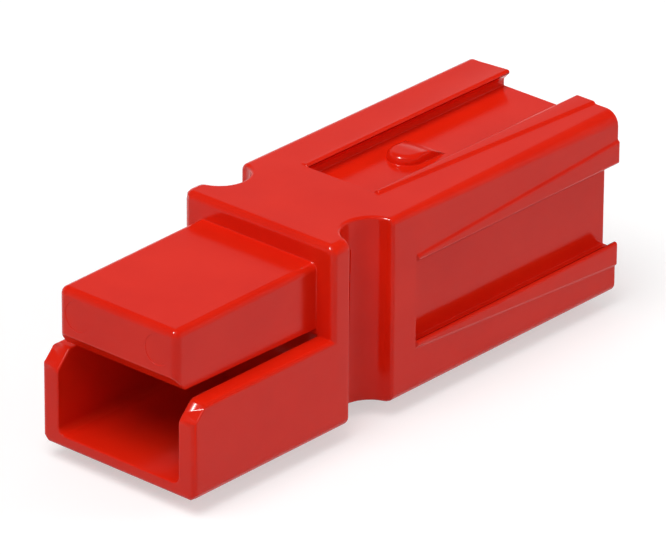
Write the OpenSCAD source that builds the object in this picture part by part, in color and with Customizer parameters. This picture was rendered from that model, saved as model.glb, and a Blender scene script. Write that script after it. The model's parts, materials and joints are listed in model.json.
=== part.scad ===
// Genderless single-pole power connector housing: one moulded shell and its leaf spring.
// The cable axis is the Y axis. The origin is the centre of the cable mouth in the rear face.
// The shapes are drawn from the front edge (y = 0) backwards and moved to that origin at the end.

/* [Body] */
// Width and height of the square section, across its flats
body_w = 15.7; // [15:0.1:17]
// Length from the front edge of the hood to the rear face
body_len = 49.2; // [46:0.1:54]
// Distance from the front edge of the hood to the shoulder
shoulder_y = 15.6; // [14.5:0.1:16.5]
// How far the underside falls back at the rear face, for the mould's draft
draft_drop = 0.15; // [0.05:0.01:0.25]
// Radius of the two lower long edges
bottom_r = 0.8; // [0.5:0.05:1.2]
// Radius of the upper long edge between the two channels
crest_r = 0.8; // [0.4:0.05:1.2]
// Radius of the upper long edge on the rib side
rib_edge_r = 0.75; // [0.2:0.05:1]
// Radius of the shoulder's top front edge
shoulder_top_r = 0.6; // [0.2:0.05:0.9]
// Radius of the shoulder's upright front edge on the channel side
shoulder_r = 0.5; // [0.2:0.05:0.8]
// Radius of the shoulder's upright front edge on the rib side
shoulder_rib_r = 1.0; // [0.3:0.05:1.2]

/* [Hood] */
// Thickness of the hood's side walls
hood_wall = 1.65; // [1.4:0.05:1.8]
// Thickness of the hood's floor
hood_floor = 1.1; // [0.9:0.05:1.4]
// Radius inside the hood where the floor meets a wall
hood_inner_r = 0.6; // [0.3:0.05:1]
// How far the hood's back wall lies behind the shoulder
hood_relief = 0.3; // [0.1:0.05:0.6]
// Length of the cut on the front top corner of each wall
hood_cut_y = 1.4; // [0.8:0.05:2]
// Height of the same cut
hood_cut_z = 1.45; // [0.8:0.05:2]
// Radius of the two corners of the same cut
hood_cut_r = 0.6; // [0.2:0.05:0.9]
// Radius of the hood's outer front edges
hood_front_r = 0.4; // [0.2:0.05:0.7]
// Radius of the outer top edge of each wall
hood_top_r = 0.4; // [0.2:0.05:0.7]

/* [Tongue] */
// Half-width clearance between the tongue and a mating hood
tongue_clear = 0.12; // [0.1:0.01:0.4]
// Height of the tongue's top above the mating plane, at its front
tongue_top = 5.83; // [5.5:0.01:6.1]
// Height of the tongue's underside above the mating plane, at its front
tongue_under = 0.76; // [0.6:0.01:1]
// Rise of the tongue's top from front to shoulder
tongue_top_rise = 0.19; // [0.05:0.01:0.3]
// Fall of the tongue's underside from front to shoulder
tongue_under_fall = 0.24; // [0.05:0.01:0.3]
// Length of the chamfer under the tongue's nose
nose_cut_y = 0.91; // [0.5:0.01:1.2]
// Height of the same chamfer
nose_cut_z = 1.15; // [0.6:0.01:1.6]
// Radius of the two corners of the same chamfer
nose_cut_r = 0.3; // [0.1:0.05:0.4]
// Radius of the tongue's top and upright edges at its front
tongue_front_r = 0.65; // [0.3:0.05:1]
// Radius of the tongue's long top edges at the shoulder
tongue_top_r = 0.6; // [0.2:0.05:0.9]
// Radius of the ejector marks on the nose
mark_r = 1.25; // [0.9:0.05:1.4]
// Depth of the ejector marks
mark_depth = 0.04; // [0.02:0.01:0.1]
// Distance of each ejector mark from the middle
mark_x = 4.1; // [3.5:0.05:4.3]
// Height of the ejector marks above the mating plane
mark_z = 3.8; // [3.4:0.05:4.2]

/* [Retaining pin grooves] */
// Radius of the half-round groove in each side
groove_r = 2.42; // [2.2:0.01:2.6]
// Distance from the front edge to the axis of the grooves
groove_y = 19.97; // [19.5:0.01:20.5]

/* [Stacking dovetails] */
// Distance from the front edge to the closed end of the channels
channel_y = 25.2; // [24:0.1:27]
// Half-width of a channel between its lips
mouth_half = 3.4; // [3:0.05:3.6]
// Undercut of a channel behind each lip
undercut = 0.55; // [0.3:0.01:0.7]
// Depth of a channel below the flat of the body
channel_depth = 1.29; // [1:0.01:1.35]
// Run of the lip's slope down the channel wall, for each millimetre of undercut
slope_run = 1.1; // [0.8:0.05:1.3]
// Thickness of a lip's square edge
lip_land = 0.3; // [0.2:0.01:0.45]
// Height of the raised strips beside a channel, above the flat
strip_proud = 0.2; // [0.05:0.01:0.25]
// Half-width across the pair of strips at their front end
strip_front = 4.0; // [3.9:0.05:4.4]
// Half-width across the pair of strips at the rear face
strip_rear = 5.5; // [5.2:0.05:6]
// Side clearance of a rib in a channel
rib_clear = 0.15; // [0.1:0.01:0.3]
// Clearance between the top of a rib and the floor of a channel
rib_top_clear = 0.15; // [0.1:0.01:0.3]
// Gap between the front of a rib and the closed end of a channel
rib_gap = 0.3; // [0.1:0.05:0.6]

/* [Detent] */
// Radius of the detent's round front, which is half its width
detent_r = 1.55; // [1.2:0.05:1.8]
// Height of the detent above the floor of the top channel
detent_h = 0.77; // [0.5:0.01:1]
// Distance from the middle of the channel to the detent, towards the rib side
detent_off = 0.64; // [0:0.02:1]
// Distance from the front edge to the centre of the detent's round front
detent_y = 33.6; // [33:0.1:34.5]
// Distance from the front edge to the rear foot of the detent
detent_end = 37.5; // [36.5:0.1:39]
// Slope of the ramp behind the detent, in degrees
detent_slope = 15; // [10:1:30]
// Clearance round the detent in the dimple of the matching rib
detent_clear = 0.15; // [0.1:0.01:0.3]

/* [Contact cavity] */
// Radius of the cable bore
bore_r = 5.65; // [5:0.01:5.7]
// Distance from the front edge to the bottom of the cable bore
bore_y = 25.8; // [25:0.1:28]
// Length of the cone that leads from the bore to the contact passage
bore_cone = 1.2; // [0.8:0.1:1.6]
// Half-width of the contact passage
passage_half = 4.5; // [4:0.05:4.6]
// Depth of the passage floor below the mating plane
passage_floor = 0.3; // [0.1:0.01:0.5]
// Height of the passage roof above the mating plane, under the spring
passage_roof = 3.9; // [3.7:0.01:4.1]
// Height of the lower roof behind the spring
rear_roof = 3.0; // [2.8:0.01:3.2]
// Distance from the front edge to the step between the two roofs
roof_step_y = 20.5; // [19:0.1:21.5]
// Thickness of the tongue's nose in front of the spring
nose_wall = 1.5; // [1.3:0.05:1.8]

/* [Retention spring] */
// Width of the spring strip
spring_w = 7.6; // [6:0.1:7.8]
// Thickness of the spring strip
spring_t = 0.4; // [0.3:0.01:0.5]
// Length of each flat end that is tucked into its slot
tuck = 0.8; // [0.5:0.05:0.9]
// How far the spring bows down towards the contact
spring_sag = 0.9; // [0.5:0.05:1.2]
// Clearance under each tucked end
tuck_clear = 0.08; // [0.05:0.01:0.15]
// Clearance beyond each tucked end
tuck_end_clear = 0.1; // [0.05:0.01:0.2]

/* [Hidden] */
$fn = 96;
arc_steps = 6;
ball_facets = 32;
spring_steps = 24;
over = 1;
join = 0.05;
half = body_w / 2;
face = half + strip_proud;
floor_at = half - channel_depth;
hood_half = half - hood_wall;
hood_back = shoulder_y + hood_relief;
tongue_half = hood_half - tongue_clear;
draft_from = groove_y + groove_r;
rear_half = half - draft_drop;
block_front = shoulder_y + over;
rib_root = half - draft_drop - 0.3;
stack_pitch = half + face;
plastic = [0.80, 0.10, 0.06];
steel = [0.78, 0.79, 0.80];

// Points of the arc that rounds the corner p between its neighbours a and b
function fillet(a, p, b, r) =
    let (u = (a - p) / norm(a - p), v = (b - p) / norm(b - p), half_turn = acos(u * v) / 2)
    let (c = p + (u + v) / norm(u + v) * r / sin(half_turn))
    let (s = p + u * r / tan(half_turn) - c, e = p + v * r / tan(half_turn) - c)
    let (from = atan2(s[1], s[0]), sweep = sign(s[0] * e[1] - s[1] * e[0]) * acos(s * e / (r * r)))
    [for (i = [0 : arc_steps]) let (t = from + sweep * i / arc_steps) c + r * [cos(t), sin(t)]];

// Outline through the corners [x, y, r], each rounded by its own radius r, or left square at 0
function rounded(corners) =
    let (n = len(corners), at = [for (c = corners) [c[0], c[1]]])
    [for (i = [0 : n - 1])
        let (r = corners[i][2])
        each r > 0 ? fillet(at[(i + n - 1) % n], at[i], at[(i + 1) % n], r) : [at[i]]];

// Right half of a dovetail, from its open face down to its floor
function dovetail_side(mouth, at_face, at_floor, land) = [
    [mouth, at_face],
    [mouth, at_face - land],
    [mouth + undercut, at_face - land - slope_run * undercut],
    [mouth + undercut, at_floor]
];

// Whole dovetail outline, symmetrical about the middle
function dovetail(mouth, at_face, at_floor, land) =
    let (side = dovetail_side(mouth, at_face, at_floor, land))
    concat(side, [for (i = [len(side) - 1 : -1 : 0]) [-side[i][0], side[i][1]]]);

// Drop of the spring below the roof at the fraction t of its free length
function bow(t) = spring_sag * pow(sin(180 * t), 2);

// Extrudes an outline drawn across the part (x, z) from y0 back to y1
module along(y0, y1)
    translate([0, y1, 0])
        rotate([90, 0, 0])
            linear_extrude(y1 - y0)
                children();

// Extrudes an outline drawn in side view (y, z) over the width w
module across(w)
    translate([-w / 2, 0, 0])
        rotate([90, 0, 90])
            linear_extrude(w)
                children();

// Extrudes an outline drawn in plan (x, y) from z0 up to z1
module upright(z0, z1)
    translate([0, 0, z0])
        linear_extrude(z1 - z0)
            children();

// Turns a feature of the top face round the cable axis: 90 right side, 180 bottom, 270 left side
module turned(angle)
    rotate([0, angle, 0])
        children();

// Box from one corner to the other
module box(a, b)
    translate(a)
        cube(b - a);

// Block behind the shoulder, with its front edges rounded and its underside drafted
module body_block()
    intersection() {
        along(shoulder_y, body_len) polygon(rounded([
            [half, half, crest_r],
            [-half, half, rib_edge_r],
            [-half, -half, bottom_r],
            [half, -half, bottom_r]
        ]));
        across(body_w + 2 * over) polygon(rounded([
            [shoulder_y, -half, 0],
            [shoulder_y, half, shoulder_top_r],
            [body_len + over, half, 0],
            [body_len + over, -rear_half, 0],
            [draft_from, -half, 0]
        ]));
        upright(-body_w, body_w) polygon(rounded([
            [-half, shoulder_y, shoulder_rib_r],
            [half, shoulder_y, shoulder_r],
            [half, body_len + over, 0],
            [-half, body_len + over, 0]
        ]));
    }

// Lower half of the mating end: a floor and two walls that end at the mating plane
module hood()
    intersection() {
        along(0, block_front) polygon(rounded([
            [half, 0, hood_top_r],
            [-half, 0, hood_top_r],
            [-half, -half, bottom_r],
            [half, -half, bottom_r]
        ]));
        upright(-body_w, over) polygon(rounded([
            [-half, 0, hood_front_r],
            [half, 0, hood_front_r],
            [half, block_front + over, 0],
            [-half, block_front + over, 0]
        ]));
        across(body_w) polygon(rounded([
            [0, -half, hood_front_r],
            [0, -hood_cut_z, hood_cut_r],
            [hood_cut_y, 0, hood_cut_r],
            [block_front + over, 0, 0],
            [block_front + over, -half, 0]
        ]));
    }

// Space inside the hood, which takes the tongue of the mating part
module hood_space()
    along(-over, hood_back) polygon(rounded([
        [-hood_half, -half + hood_floor, hood_inner_r],
        [hood_half, -half + hood_floor, hood_inner_r],
        [hood_half, 0, 0],
        [-hood_half, 0, 0]
    ]));

// Upright round edge with a ball on top, for the tongue's front corners
module round_post(x, y, r, z)
    translate([x, y, 0]) {
        cylinder(r = r, h = z - r, $fn = ball_facets);
        translate([0, 0, z - r]) sphere(r, $fn = ball_facets);
    }

// Upper half of the mating end: a drafted tongue with a chamfer under its nose
module tongue()
    intersection() {
        hull() {
            for (x = [-tongue_half + tongue_front_r, tongue_half - tongue_front_r])
                round_post(x, tongue_front_r, tongue_front_r, tongue_top);
            along(block_front - join, block_front) polygon(rounded([
                [tongue_half, tongue_top + tongue_top_rise, tongue_top_r],
                [-tongue_half, tongue_top + tongue_top_rise, tongue_top_r],
                [-tongue_half, 0, 0],
                [tongue_half, 0, 0]
            ]));
        }
        across(body_w) polygon(rounded([
            [0, body_w, 0],
            [0, tongue_under + nose_cut_z, nose_cut_r],
            [nose_cut_y, tongue_under, nose_cut_r],
            [shoulder_y, tongue_under - tongue_under_fall, 0],
            [block_front, tongue_under - tongue_under_fall, 0],
            [block_front, body_w, 0]
        ]));
    }

// Faint round marks that the ejector pins leave on the nose
module ejector_marks()
    for (x = [-mark_x, mark_x])
        translate([x, mark_depth, mark_z])
            rotate([90, 0, 0])
                cylinder(r = mark_r, h = over);

// Pair of raised strips beside a channel, wider towards the rear
module strips()
    upright(floor_at, face) polygon([
        [-strip_front, channel_y],
        [strip_front, channel_y],
        [strip_rear, body_len],
        [-strip_rear, body_len]
    ]);

// Undercut channel, closed at the front and open at the rear face
module channel()
    along(channel_y, body_len + over)
        polygon(dovetail(mouth_half, face + over, floor_at, lip_land + over));

// Rib that slides into the channel of a neighbouring housing, drawn from that channel's outline
module rib()
    let (root = stack_pitch - rib_root, land = root - face + lip_land + rib_clear)
    let (outline = dovetail(mouth_half - rib_clear, root, floor_at + rib_top_clear, land))
    along(channel_y + rib_gap, body_len)
        polygon([for (p = outline) [p[0], stack_pitch - p[1]]]);

// Round-fronted pad with a ramp behind it, above the floor of the top channel, grown by c
module detent(c)
    intersection() {
        upright(floor_at - lip_land, floor_at + detent_h + c)
            translate([-detent_off, detent_y]) {
                circle(detent_r + c);
                translate([-detent_r - c, 0]) square([2 * (detent_r + c), detent_end + over - detent_y]);
            }
        translate([0, detent_end, floor_at])
            rotate([-detent_slope, 0, 0])
                box([-body_w, -body_w, -body_w], [body_w, over, c]);
    }

// Half-round grooves for the retaining pins, one in each side
module pin_grooves()
    for (x = [-half, half])
        translate([x, groove_y, -half - over])
            cylinder(r = groove_r, h = body_w + 2 * over);

// Way for the contact: cable bore, lead-in cone and the passage that runs out under the tongue
module contact_cavity() {
    translate([0, body_len + over, 0])
        rotate([90, 0, 0])
            cylinder(r = bore_r, h = body_len + over - bore_y);
    translate([0, bore_y + join, 0])
        rotate([90, 0, 0])
            cylinder(r1 = bore_r, r2 = passage_half, h = bore_cone + join);
    box([-passage_half, nose_wall, -passage_floor], [passage_half, roof_step_y, passage_roof]);
    box([-passage_half, roof_step_y - join, -passage_floor], [passage_half, bore_y, rear_roof]);
    spring_slot(nose_wall - tuck - tuck_end_clear, nose_wall + join);
    spring_slot(roof_step_y - join, roof_step_y + tuck + tuck_end_clear);
}

// Slot under the roof that holds one end of the spring
module spring_slot(y0, y1)
    box([-spring_w / 2 - tuck_end_clear, y0, passage_roof - spring_t - tuck_clear],
        [spring_w / 2 + tuck_end_clear, y1, passage_roof]);

// Outer form of the shell, before any hollow is cut
module shell_form()
    union() {
        body_block();
        hood();
        tongue();
        for (angle = [0, 90]) turned(angle) strips();
        for (angle = [180, 270]) turned(angle) rib();
    }

module housing()
    color(plastic)
        translate([0, -body_len, 0]) {
            difference() {
                shell_form();
                hood_space();
                for (angle = [0, 90]) turned(angle) channel();
                translate([0, 0, -stack_pitch]) detent(detent_clear);
                pin_grooves();
                contact_cavity();
                ejector_marks();
            }
            detent(0);
        }

module retention_spring()
    color(steel)
        translate([0, -body_len, passage_roof])
            across(spring_w) polygon(concat(
                [[nose_wall - tuck, 0]],
                [for (i = [0 : spring_steps]) let (t = i / spring_steps)
                    [nose_wall + t * (roof_step_y - nose_wall), -bow(t)]],
                [[roof_step_y + tuck, 0], [roof_step_y + tuck, -spring_t]],
                [for (i = [spring_steps : -1 : 0]) let (t = i / spring_steps)
                    [nose_wall + t * (roof_step_y - nose_wall), -bow(t) - spring_t]],
                [[nose_wall - tuck, -spring_t]]
            ));

housing();
retention_spring();
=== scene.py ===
import json
from math import atan2, copysign, cos, radians, sin, sqrt

import bmesh
import bpy
from mathutils import Matrix, Vector


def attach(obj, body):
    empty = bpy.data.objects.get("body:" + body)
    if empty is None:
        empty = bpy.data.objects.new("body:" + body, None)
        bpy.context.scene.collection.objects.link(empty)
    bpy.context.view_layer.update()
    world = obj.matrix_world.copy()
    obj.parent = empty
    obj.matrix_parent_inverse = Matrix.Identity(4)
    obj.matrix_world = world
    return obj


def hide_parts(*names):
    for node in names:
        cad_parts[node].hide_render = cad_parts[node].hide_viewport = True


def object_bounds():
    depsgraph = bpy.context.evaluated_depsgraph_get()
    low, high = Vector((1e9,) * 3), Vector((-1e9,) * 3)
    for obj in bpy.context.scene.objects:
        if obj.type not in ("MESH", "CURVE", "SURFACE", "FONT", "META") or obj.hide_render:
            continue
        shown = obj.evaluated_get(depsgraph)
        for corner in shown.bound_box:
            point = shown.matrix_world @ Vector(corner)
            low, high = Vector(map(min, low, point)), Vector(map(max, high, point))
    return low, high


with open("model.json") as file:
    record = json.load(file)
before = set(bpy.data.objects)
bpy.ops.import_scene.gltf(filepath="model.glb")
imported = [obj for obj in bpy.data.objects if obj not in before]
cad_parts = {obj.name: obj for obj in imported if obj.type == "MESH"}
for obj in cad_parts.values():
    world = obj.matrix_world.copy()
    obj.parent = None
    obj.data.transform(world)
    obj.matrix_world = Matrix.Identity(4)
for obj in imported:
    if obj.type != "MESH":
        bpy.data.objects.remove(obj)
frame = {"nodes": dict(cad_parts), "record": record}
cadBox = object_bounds()
scene = bpy.context.scene
mm = 0.001
print("frame loaded:", ", ".join(sorted(frame["nodes"])))

# Camera, three quarters from the mating end, above and to the right
view = {
    "azimuth": 41.506,  # degrees
    "elevation": 25.875,
    "roll": 0.404,
    "pivot": (0, -25.2, 0.15),  # mm, the point the camera turns about
    "offset": (0.243, -0.2405),  # mm, sideways and up from the line through the pivot
    "distance": 595.16,  # mm
    "lens": 416.7,  # mm
    "clip": (0.01, 20),  # m
}


def addCamera():
    azimuth, elevation, roll = (radians(view[key]) for key in ("azimuth", "elevation", "roll"))
    back = Vector((sin(azimuth) * cos(elevation), -cos(azimuth) * cos(elevation), sin(elevation)))
    right = Vector((cos(azimuth), sin(azimuth), 0))
    up = back.cross(right)
    rolledRight = right * cos(roll) + up * sin(roll)
    rolledUp = up * cos(roll) - right * sin(roll)
    sideways, raised = view["offset"]
    place = Vector(view["pivot"]) + rolledRight * sideways + rolledUp * raised
    place += back * view["distance"]
    data = bpy.data.cameras.new("camera")
    data.lens = view["lens"]
    data.clip_start, data.clip_end = view["clip"]
    camera = bpy.data.objects.new("camera", data)
    turned = Matrix((rolledRight, rolledUp, back)).transposed().to_4x4()
    camera.matrix_world = Matrix.Translation(place * mm) @ turned
    scene.collection.objects.link(camera)
    scene.camera = camera


addCamera()
print("camera placed")


# Shader building: a wrapped socket does arithmetic, and one method makes every other node
class Wire:
    def __init__(self, tree, socket):
        self.tree = tree
        self.socket = socket

    def math(self, operation, *values):
        return Shader(self.tree).node("ShaderNodeMath", {"operation": operation}, dict(enumerate(values)))

    def __add__(self, other):
        return self.math("ADD", self, other)

    def __radd__(self, other):
        return self.math("ADD", other, self)

    def __sub__(self, other):
        return self.math("SUBTRACT", self, other)

    def __rsub__(self, other):
        return self.math("SUBTRACT", other, self)

    def __mul__(self, other):
        return self.math("MULTIPLY", self, other)

    def __rmul__(self, other):
        return self.math("MULTIPLY", other, self)


class Shader:
    def __init__(self, tree):
        self.tree = tree

    def node(self, kind, settings=None, sockets=None, output=0):
        made = self.tree.nodes.new(kind)
        for key, value in (settings or {}).items():
            if key == "stops":
                ramp = made.color_ramp.elements
                while len(ramp) < len(value):
                    ramp.new(0.5)
                for stop, (position, tone) in zip(ramp, value):
                    stop.position = position
                    stop.color = (tone, tone, tone, 1)
            else:
                setattr(made, key, value)
        for key, value in (sockets or {}).items():
            if isinstance(value, Wire):
                self.tree.links.new(value.socket, made.inputs[key])
            else:
                made.inputs[key].default_value = value
        return Wire(self.tree, made.outputs[output]) if len(made.outputs) else None

    def place(self):
        return self.node("ShaderNodeTexCoord", output="Object")

    def stretchedPlace(self, factors):
        return self.node("ShaderNodeVectorMath", {"operation": "MULTIPLY"}, {0: self.place(), 1: factors})

    def noise(self, scale, detail, roughness, vector=None):
        sockets = {"Scale": scale, "Detail": detail, "Roughness": roughness}
        sockets["Vector"] = vector or self.place()
        return self.node("ShaderNodeTexNoise", sockets=sockets)

    def ramp(self, value, stops):
        return self.node("ShaderNodeValToRGB", {"stops": stops}, {"Fac": value})

    # Set to colours, the Mix node has its factor at input 0, the colours at 6 and 7, the result at output 2
    def tint(self, mask, one, two):
        settings = {"data_type": "RGBA", "blend_type": "MIX"}
        return self.node("ShaderNodeMix", settings, {0: mask, 6: one, 7: two}, output=2)

    def bump(self, height, distance, normal=None):
        sockets = {"Height": height, "Strength": 1.0, "Distance": distance}
        if normal:
            sockets["Normal"] = normal
        return self.node("ShaderNodeBump", sockets=sockets)

    def lightPath(self, kind):
        return self.node("ShaderNodeLightPath", output=kind)


# An empty material, and the shader that fills it
def material(name):
    made = bpy.data.materials.new(name)
    made.use_nodes = True
    made.node_tree.nodes.clear()
    return made, Shader(made.node_tree)


def finish(shader, sockets):
    surface = shader.node("ShaderNodeBsdfPrincipled", sockets=sockets)
    shader.node("ShaderNodeOutputMaterial", sockets={"Surface": surface})


# Glossy red nylon as it leaves the mould
nylon = {
    # each noise is its scale per metre, its detail and its roughness
    "colour": (0.82, 0.018, 0.0042, 1),
    "deepColour": (0.77, 0.0145, 0.0035, 1),
    "flow": (140, 3, 0.55),  # where the deep colour shows
    "flowStops": [(0.35, 0.0), (0.68, 1.0)],
    "roughness": 0.17,
    "roughnessSwing": 0.05,
    "wipe": (900, 4, 0.6),  # where the gloss is duller
    "specular": 0.17,
    "ior": 1.53,
    "ripple": (230, 1, 0.4),  # slow unevenness of the moulded faces
    "rippleDepth": 0.02,  # mm
    "grain": (9000, 2, 0.5),  # fine texture left by the polished tool
    "grainDepth": 0.0012,  # mm
}


def mouldedPlastic():
    made, shader = material("glossyRedNylon")
    flow = shader.ramp(shader.noise(*nylon["flow"]), nylon["flowStops"])
    wipe = shader.noise(*nylon["wipe"])
    ripple = shader.bump(shader.noise(*nylon["ripple"]), nylon["rippleDepth"] * mm)
    sockets = {
        "Base Color": shader.tint(flow, nylon["colour"], nylon["deepColour"]),
        "Roughness": (wipe - 0.5) * nylon["roughnessSwing"] + nylon["roughness"],
        "Specular IOR Level": nylon["specular"],
        "IOR": nylon["ior"],
        "Normal": shader.bump(shader.noise(*nylon["grain"]), nylon["grainDepth"] * mm, ripple),
    }
    finish(shader, sockets)
    return made


# Leaf spring of rolled stainless strip, with its grain along the length
spring = {
    "colour": (0.60, 0.59, 0.57, 1),
    "darkColour": (0.46, 0.455, 0.44, 1),
    "cloud": (400, 2, 0.5),  # where the dark colour shows
    "cloudStops": [(0.3, 0.0), (0.75, 1.0)],
    "roughness": 0.27,
    "roughnessSwing": 0.14,
    "lines": (1, 3, 0.6),  # rolling marks
    "lineStretch": (9000, 260, 9000),  # per metre, so that the lines run along y
    "lineDepth": 0.002,  # mm
    "weld": 0.001,  # mm
    "edge": 0.05,  # mm, radius of its edges
    "edgeSteps": 2,
    "edgeAngle": 40,  # degrees, turns sharper than this are rounded
}


def rolledSteel():
    made, shader = material("rolledStainless")
    lines = shader.noise(*spring["lines"], shader.stretchedPlace(spring["lineStretch"]))
    cloud = shader.ramp(shader.noise(*spring["cloud"]), spring["cloudStops"])
    sockets = {
        "Base Color": shader.tint(cloud, spring["colour"], spring["darkColour"]),
        "Metallic": 1.0,
        "Roughness": (lines - 0.5) * spring["roughnessSwing"] + spring["roughness"],
        "Normal": shader.bump(lines, spring["lineDepth"] * mm),
    }
    finish(shader, sockets)
    return made


def finishSpring():
    leaf = frame["nodes"]["retention_spring"]
    weld = leaf.modifiers.new("weld", "WELD")
    weld.merge_threshold = spring["weld"] * mm
    bevel = leaf.modifiers.new("edges", "BEVEL")
    bevel.width = spring["edge"] * mm
    bevel.segments = spring["edgeSteps"]
    bevel.limit_method = "ANGLE"
    bevel.angle_limit = radians(spring["edgeAngle"])
    leaf.data.materials.clear()
    leaf.data.materials.append(rolledSteel())
    print("spring finished")


# Shell: the solid's own faces, with its edges rounded except where roundings would meet at a corner
shell = {
    "weld": 0.01,  # mm, slivers shorter than this are closed
    "flatAngle": 0.006,  # radians, faces that turn less than this are joined
    "slack": 0.001,  # mm, for telling whether a vertex lies on a flat
    "endSlack": 0.01,  # mm, for telling whether a vertex lies at an end of the strips
    "raised": 8.0,  # mm, a vertex further out than this lies on a raised strip beside a channel
    "lipReach": 3.5,  # mm, a strip's inner edge is nearer than this to the middle of its channel
    "stripReach": 5.6,  # mm, and its outer edge is nearer than this
    "stripFront": -24.0,  # mm, y where the strips begin; they end at the rear face, y = 0
    "stripLean": 0.16,  # mm, how far a raised strip's outer edge leans in at its top
    "leftLedge": (-4.3, -6.6),  # mm, x where the left strip has fallen to the flat, front and rear
    "rampEnd": ((-2.3, -11.8, 6.3), (1.0, -11.6, 6.8)),  # mm, a box round the foot of the detent's ramp
    "rampFoot": -12.9,  # mm, y where the ramp behind the detent reaches the floor
    "crestArc": 7.05,  # mm, x and z of the centre of the solid's arc between the two channels
    "crestReach": -27.2,  # mm, y in front of which that arc is left alone
    "crest": (-26.9, 0.55, 0.0, 1.2),  # mm, y and radius at the pin groove, y and radius at the rear
    "crestFront": 0.05,  # share of the crest whose vertices are set back on the pin groove's wall
    "cutEnds": [
        # low and high corner (mm) of the ends of the hood's right cut corner; the left one mirrors it
        ((7.5, -49.3, -1.9), (7.9, -48.9, -1.2)),
        ((7.5, -47.9, -0.4), (7.9, -47.4, 0.1)),
    ],
    "cutEndWeld": 0.032,  # mm, edges shorter than this are closed there
    "corners": [
        # centre and radius (mm) of the ball that rounds a right corner; the left one mirrors it
        ((7.05, -32.8, 7.05), 0.8),
        ((7.3, -48.65, -7.3), 0.55),
    ],
    "cutReach": (9, 2),  # mm, along y and round the ball, how far the faces that are cut for it lie
    "cutSlack": 0.02,  # mm, a vertex this close to the cutting plane counts as on it
    "edge": 0.10,  # mm, radius of an edge that no region below holds
    "edgeSteps": 3,
    "edgeAngle": 28,  # degrees, turns sharper than this are rounded
    "normalWeight": 60,
    "regions": [
        # name, low and high corner (mm), radius (mm, 0 stays sharp); the first that holds an edge counts
        ("ejectorMarks", (-5.6, -49.25, 2.4), (5.6, -49.1, 5.2), 0.015),
        ("shoulderCorners", (-7.9, -33.7, 7.02), (7.9, -32.55, 7.9), 0.0),
        ("shoulderFeet", (-7.9, -33.7, -0.6), (7.9, -32.6, -0.2), 0.0),
        ("noseCorners", (-7.9, -49.3, -7.9), (7.9, -48.9, -7.2), 0.0),
        ("detentBrow", (-2.3, -17.3, 7.2), (1.0, -14.4, 7.6), 0.55),
        ("detentRamp", (-2.3, -14.7, 6.4), (1.0, -11.6, 7.6), 0.16),
        ("detentFoot", (-2.3, -17.3, 6.4), (1.0, -11.6, 6.7), 0.1),
        ("springSlots", (-4.6, -49.0, -0.4), (4.6, -23.0, 4.0), 0.06),
        ("rightGroove", (5.3, -31.8, -7.9), (7.9, -26.7, 7.9), 0.28),
        ("leftGroove", (-7.9, -31.8, -7.9), (-5.3, -26.7, 7.9), 0.28),
        ("topLips", (-3.45, -24.1, 8.0), (3.45, 0.1, 8.1), 0.3),
        ("sideLips", (8.0, -24.1, -3.45), (8.1, 0.1, 3.45), 0.3),
        ("topStrips", (-5.6, -24.1, 8.0), (5.6, 0.1, 8.1), 0.12),
        ("sideStrips", (8.0, -24.1, -5.6), (8.1, 0.1, 5.6), 0.12),
        ("rightCut", (7.83, -49.2, -1.7), (7.9, -47.5, 0.1), 0.12),
        ("rightCutEnds", (7.3, -49.3, -1.8), (7.9, -47.2, 0.1), 0.0),
        ("leftCut", (-7.9, -49.2, -1.7), (-7.83, -47.5, 0.1), 0.12),
        ("leftCutEnds", (-7.9, -49.3, -1.8), (-7.3, -47.2, 0.1), 0.0),
        ("hoodRim", (-6.3, -49.3, -6.9), (6.3, -47.2, 0.1), 0.14),
        ("hoodWallTops", (-6.3, -47.3, -0.1), (6.3, -33.2, 0.1), 0.14),
    ],
}

# The axis of the right pin groove lies in the right flat; the top flat is just as far out
pinGroove = next(mount for mount in frame["record"]["mounts"] if mount["name"] == "pin_groove_right")
flat, grooveY = pinGroove["pos_m"][:2]
grooveRadius = pinGroove["dims"]["r_mm"] * mm


# Whether a place lies in the box between two corners given in mm
def inside(place, low, high):
    return all(low[i] * mm <= place[i] <= high[i] * mm for i in range(3))


# The foot of the detent's ramp moves forward
def steepenRamp(shape):
    for vert in shape.verts:
        if inside(vert.co, *shell["rampEnd"]):
            vert.co.y = shell["rampFoot"] * mm


# The left strip falls to the flat, and the outer edges of the other strips lean in
def easeStrips(shape):
    keys = ("slack", "endSlack", "raised", "lipReach", "stripReach", "stripFront", "stripLean")
    slack, endSlack, raised, lip, reach, start, lean = (shell[key] * mm for key in keys)
    front, rear = (value * mm for value in shell["leftLedge"])
    for vert in shape.verts:
        x, y, z = vert.co
        atRear, atFront = abs(y) < endSlack, abs(y - start) < endSlack
        if z > flat - slack and -reach < x < -lip and (atRear or atFront):
            vert.co.x = rear if atRear else front
            vert.co.z = flat
        elif z > raised and x > lip:
            vert.co.x -= lean
        elif x > raised and abs(z) > lip:
            vert.co.z -= copysign(lean, z)
    bmesh.ops.remove_doubles(shape, verts=shape.verts, dist=shell["weld"] * mm)


# The rounded edge between the two channels widens from the pin groove to the rear
def taperCrest(shape):
    slack, centre, reach = (shell[key] * mm for key in ("slack", "crestArc", "crestReach"))
    front, frontRadius, rear, rearRadius = (value * mm for value in shell["crest"])
    for vert in shape.verts:
        x, y, z = vert.co
        if y > reach and min(x, z) > centre - slack and max(x, z) < flat + slack:
            turn = atan2(z - centre, x - centre)
            share = (y - front) / (rear - front)
            radius = frontRadius + (rearRadius - frontRadius) * max(0, min(1, share))
            vert.co.x = flat - radius * (1 - cos(turn))
            vert.co.z = flat - radius * (1 - sin(turn))
            if share < shell["crestFront"]:
                vert.co.y = grooveY + sqrt(grooveRadius ** 2 - (flat - vert.co.x) ** 2)


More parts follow.
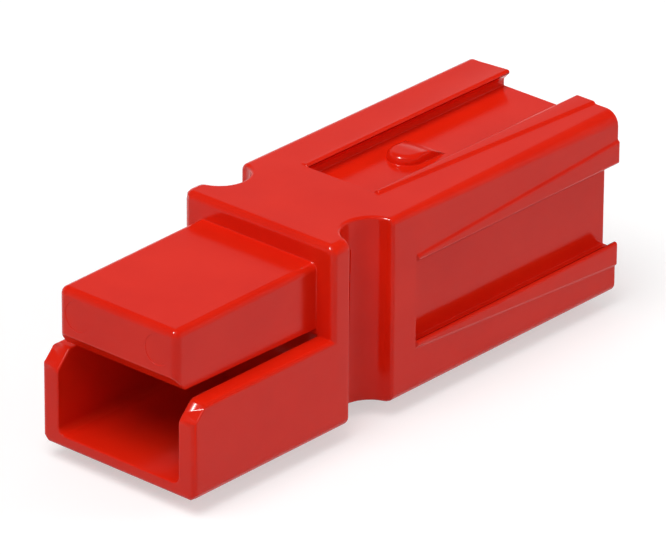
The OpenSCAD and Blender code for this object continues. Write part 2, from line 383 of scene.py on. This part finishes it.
# Short edges at the ends of the hood's cut corners are closed before the bevel meets them
def closeCutEnds(shape):
    for low, high in shell["cutEnds"]:
        for side in (1, -1):
            mirror = Vector((side, 1, 1))
            held = [vert for vert in shape.verts if inside(vert.co * mirror, low, high)]
            bmesh.ops.remove_doubles(shape, verts=held, dist=shell["cutEndWeld"] * mm)


# New vertices where a plane through the ball's centre crosses the faces near it keep the change local
def cutAcross(shape, ball, axis):
    along, around = (value * mm for value in shell["cutReach"])
    near = [face for face in shape.faces if abs(face.calc_center_bounds().y - ball.y) < along]
    near = [face for face in near if any((vert.co - ball).length < around for vert in face.verts)]
    edges = dict.fromkeys(edge for face in near for edge in face.edges)
    verts = dict.fromkeys(vert for face in near for vert in face.verts)
    normal = [1 if i == axis else 0 for i in range(3)]
    geometry = [*near, *edges, *verts]
    slack = shell["cutSlack"] * mm
    bmesh.ops.bisect_plane(shape, geom=geometry, dist=slack, plane_co=ball, plane_no=normal)


# What lies beyond the ball in a corner is drawn back onto it
def roundCorners(shape):
    for (x, y, z), radius in shell["corners"]:
        for side in (1, -1):
            ball = Vector((side * x, y, z)) * mm
            for axis in range(3):
                cutAcross(shape, ball, axis)
            outward = Vector([copysign(1, value) for value in ball])
            for vert in shape.verts:
                away = (vert.co - ball) * outward
                if min(away) > 0 and away.length > radius * mm:
                    vert.co = ball + away.normalized() * radius * mm * outward


def edgeRadius(edge):
    for name, low, high, radius in shell["regions"]:
        if all(inside(vert.co, low, high) for vert in edge.verts):
            return radius
    return shell["edge"]


# The bevel takes its width at each edge from a weight, a share of the widest radius
def weighEdges(shape, widest):
    limit = radians(shell["edgeAngle"])
    weights = shape.edges.layers.float.new("bevel_weight_edge")
    for edge in shape.edges:
        if len(edge.link_faces) == 2 and edge.calc_face_angle() > limit:
            edge[weights] = edgeRadius(edge) / widest


def roundEdges(made, widest):
    bevel = made.modifiers.new("edges", "BEVEL")
    bevel.limit_method = "WEIGHT"
    bevel.width = widest * mm
    bevel.segments = shell["edgeSteps"]
    bevel.use_clamp_overlap = False
    bevel.loop_slide = False
    weighted = made.modifiers.new("normals", "WEIGHTED_NORMAL")
    weighted.mode = "FACE_AREA_WITH_ANGLE"
    weighted.weight = shell["normalWeight"]


def mouldedShell():
    shape = bmesh.new()
    shape.from_mesh(frame["nodes"]["housing"].data)
    bmesh.ops.remove_doubles(shape, verts=shape.verts, dist=shell["weld"] * mm)
    bmesh.ops.dissolve_limit(shape, angle_limit=shell["flatAngle"], verts=shape.verts, edges=shape.edges)
    for change in (steepenRamp, easeStrips, taperCrest, closeCutEnds, roundCorners):
        change(shape)
    widest = max([shell["edge"]] + [radius for name, low, high, radius in shell["regions"]])
    weighEdges(shape, widest)
    mesh = bpy.data.meshes.new("mouldedShell")
    shape.to_mesh(mesh)
    shape.free()
    mesh.shade_smooth()
    mesh.materials.append(mouldedPlastic())
    made = bpy.data.objects.new("mouldedShell", mesh)
    scene.collection.objects.link(made)
    roundEdges(made, widest)
    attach(made, "root")
    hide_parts("housing")
    print("shell rounded:", len(mesh.polygons), "faces")


mouldedShell()
finishSpring()

# Floor, wall, lamps and world
studio = {
    "floorRadius": 2.0,  # m
    "floorSides": 96,
    "wallHeight": 0.7,  # m
    "floorGap": 0.01,  # mm, keeps the floor just off the face that rests on it
    "floorColour": (0.60, 0.60, 0.60, 1),
    "floorRoughness": 0.9,
    "floorGlow": 0.5,  # added to the lit floor
    "skyLevel": 0.35,
    "glossySky": [(0.48, 0.40), (0.62, 0.06)],  # sine of the height above the horizon, brightness
    "lamps": [
        # name, direction from the object, distance (m), size (m), watts, what it acts on
        ("overhead", (0.05, -0.45, 1.0), 1.2, 0.9, 9.4, "diffuse"),
        ("glint", (-0.222, -0.528, 0.828), 1.0, 0.12, 14.0, "glossy"),
        ("sideCard", (0.8, 0.8, 0.4), 1.2, 0.5, 2.8, "diffuse"),
    ],
}


def floorMesh():
    shape = bmesh.new()
    sides, radius = studio["floorSides"], studio["floorRadius"]
    bmesh.ops.create_circle(shape, cap_ends=True, segments=sides, radius=radius)
    level = cadBox[0].z - studio["floorGap"] * mm
    bmesh.ops.translate(shape, verts=shape.verts, vec=(0, 0, level))
    rim = bmesh.ops.extrude_edge_only(shape, edges=[edge for edge in shape.edges if edge.is_boundary])
    risen = [item for item in rim["geom"] if isinstance(item, bmesh.types.BMVert)]
    bmesh.ops.translate(shape, verts=risen, vec=(0, 0, studio["wallHeight"]))
    mesh = bpy.data.meshes.new("floor")
    shape.to_mesh(mesh)
    shape.free()
    return mesh


# The glow shows to the camera, in gloss and through glass, and lights nothing
def addFloor():
    made, shader = material("paleFloor")
    seen = shader.lightPath("Is Camera Ray")
    mirrored = shader.lightPath("Is Glossy Ray")
    through = shader.lightPath("Is Transmission Ray")
    black, white = (0, 0, 0, 1), (1, 1, 1, 1)
    sockets = {
        "Base Color": studio["floorColour"],
        "Roughness": studio["floorRoughness"],
        "Specular IOR Level": 0.0,
        "Emission Color": shader.tint(seen + mirrored + through, black, white),
        "Emission Strength": studio["floorGlow"],
    }
    finish(shader, sockets)
    mesh = floorMesh()
    mesh.materials.append(made)
    floor = bpy.data.objects.new("floor", mesh)
    scene.collection.objects.link(floor)


# The soft lamps shape the faces, and the small one is seen in the gloss alone
def addLamps():
    for name, direction, distance, size, watts, part in studio["lamps"]:
        data = bpy.data.lights.new(name, "AREA")
        data.shape = "DISK"
        data.size = size
        data.energy = watts
        lamp = bpy.data.objects.new(name, data)
        away = Vector(direction).normalized()
        lamp.location = Vector(view["pivot"]) * mm + away * distance
        lamp.rotation_euler = away.to_track_quat("Z", "Y").to_euler()
        lamp.visible_diffuse = part == "diffuse"
        lamp.visible_glossy = part == "glossy"
        scene.collection.objects.link(lamp)


# An even sky, which the gloss sees pale near the horizon and dark above
def addWorld():
    world = bpy.data.worlds.new("world")
    world.use_nodes = True
    world.node_tree.nodes.clear()
    shader = Shader(world.node_tree)
    direction = shader.node("ShaderNodeTexCoord", output="Generated")
    height = shader.node("ShaderNodeSeparateXYZ", sockets={0: direction}, output="Z")
    even = (studio["skyLevel"],) * 3 + (1,)
    tone = shader.tint(shader.lightPath("Is Glossy Ray"), even, shader.ramp(height, studio["glossySky"]))
    background = shader.node("ShaderNodeBackground", sockets={"Color": tone})
    shader.node("ShaderNodeOutputWorld", sockets={"Surface": background})
    scene.world = world


addFloor()
addLamps()
addWorld()
scene.view_settings.view_transform = "Standard"
print("studio ready")
